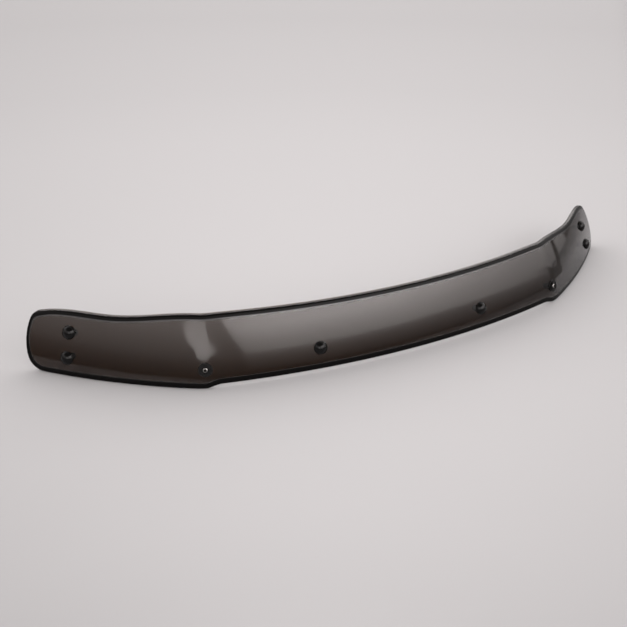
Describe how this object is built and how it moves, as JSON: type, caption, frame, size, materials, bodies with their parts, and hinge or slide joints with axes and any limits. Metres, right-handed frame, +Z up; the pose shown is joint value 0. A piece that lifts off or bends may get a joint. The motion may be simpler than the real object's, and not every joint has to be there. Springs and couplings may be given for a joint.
{
  "type": "hood bug deflector",
  "caption": "Smoked translucent wrap-around hood deflector with an edge lip turned back all round, swept-back wings and capped screw fixings in rubber expansion nuts.",
  "frame": {"origin": "on the floor under the middle of the width and of the depth, the deflector standing on its wings' lower edges", "axes": "+X across the vehicle, to the right as seen from the front; the outer face looks along -Y and the wings sweep back to +Y; +Z up"},
  "size_m": [1.3782, 0.2797, 0.1225],
  "materials": {
    "smoked_acrylic": "gloss",
    "gloss_black_nylon": "gloss",
    "black_nylon": "satin",
    "black_rubber": "matte",
    "brass": "satin",
    "stainless_steel": "satin"
  },
  "bodies": {
    "root": {"shield": "smoked_acrylic", "washer_right_centre": "black_nylon", "screw_right_centre": "stainless_steel", "well_nut_right_centre": "black_rubber", "insert_right_centre": "brass", "cap_right_centre": "gloss_black_nylon", "washer_right_bend": "black_nylon", "screw_right_bend": "stainless_steel", "well_nut_right_bend": "black_rubber", "insert_right_bend": "brass", "washer_right_end_lower": "black_nylon", "screw_right_end_lower": "stainless_steel", "well_nut_right_end_lower": "black_rubber", "insert_right_end_lower": "brass", "cap_right_end_lower": "gloss_black_nylon", "washer_right_end_upper": "black_nylon", "screw_right_end_upper": "stainless_steel", "well_nut_right_end_upper": "black_rubber", "insert_right_end_upper": "brass", "cap_right_end_upper": "gloss_black_nylon", "washer_left_centre": "black_nylon", "screw_left_centre": "stainless_steel", "well_nut_left_centre": "black_rubber", "insert_left_centre": "brass", "cap_left_centre": "gloss_black_nylon", "washer_left_bend": "black_nylon", "screw_left_bend": "stainless_steel", "well_nut_left_bend": "black_rubber", "insert_left_bend": "brass", "washer_left_end_lower": "black_nylon", "screw_left_end_lower": "stainless_steel", "well_nut_left_end_lower": "black_rubber", "insert_left_end_lower": "brass", "cap_left_end_lower": "gloss_black_nylon", "washer_left_end_upper": "black_nylon", "screw_left_end_upper": "stainless_steel", "well_nut_left_end_upper": "black_rubber", "insert_left_end_upper": "brass", "cap_left_end_upper": "gloss_black_nylon"}
  },
  "joints": []
}
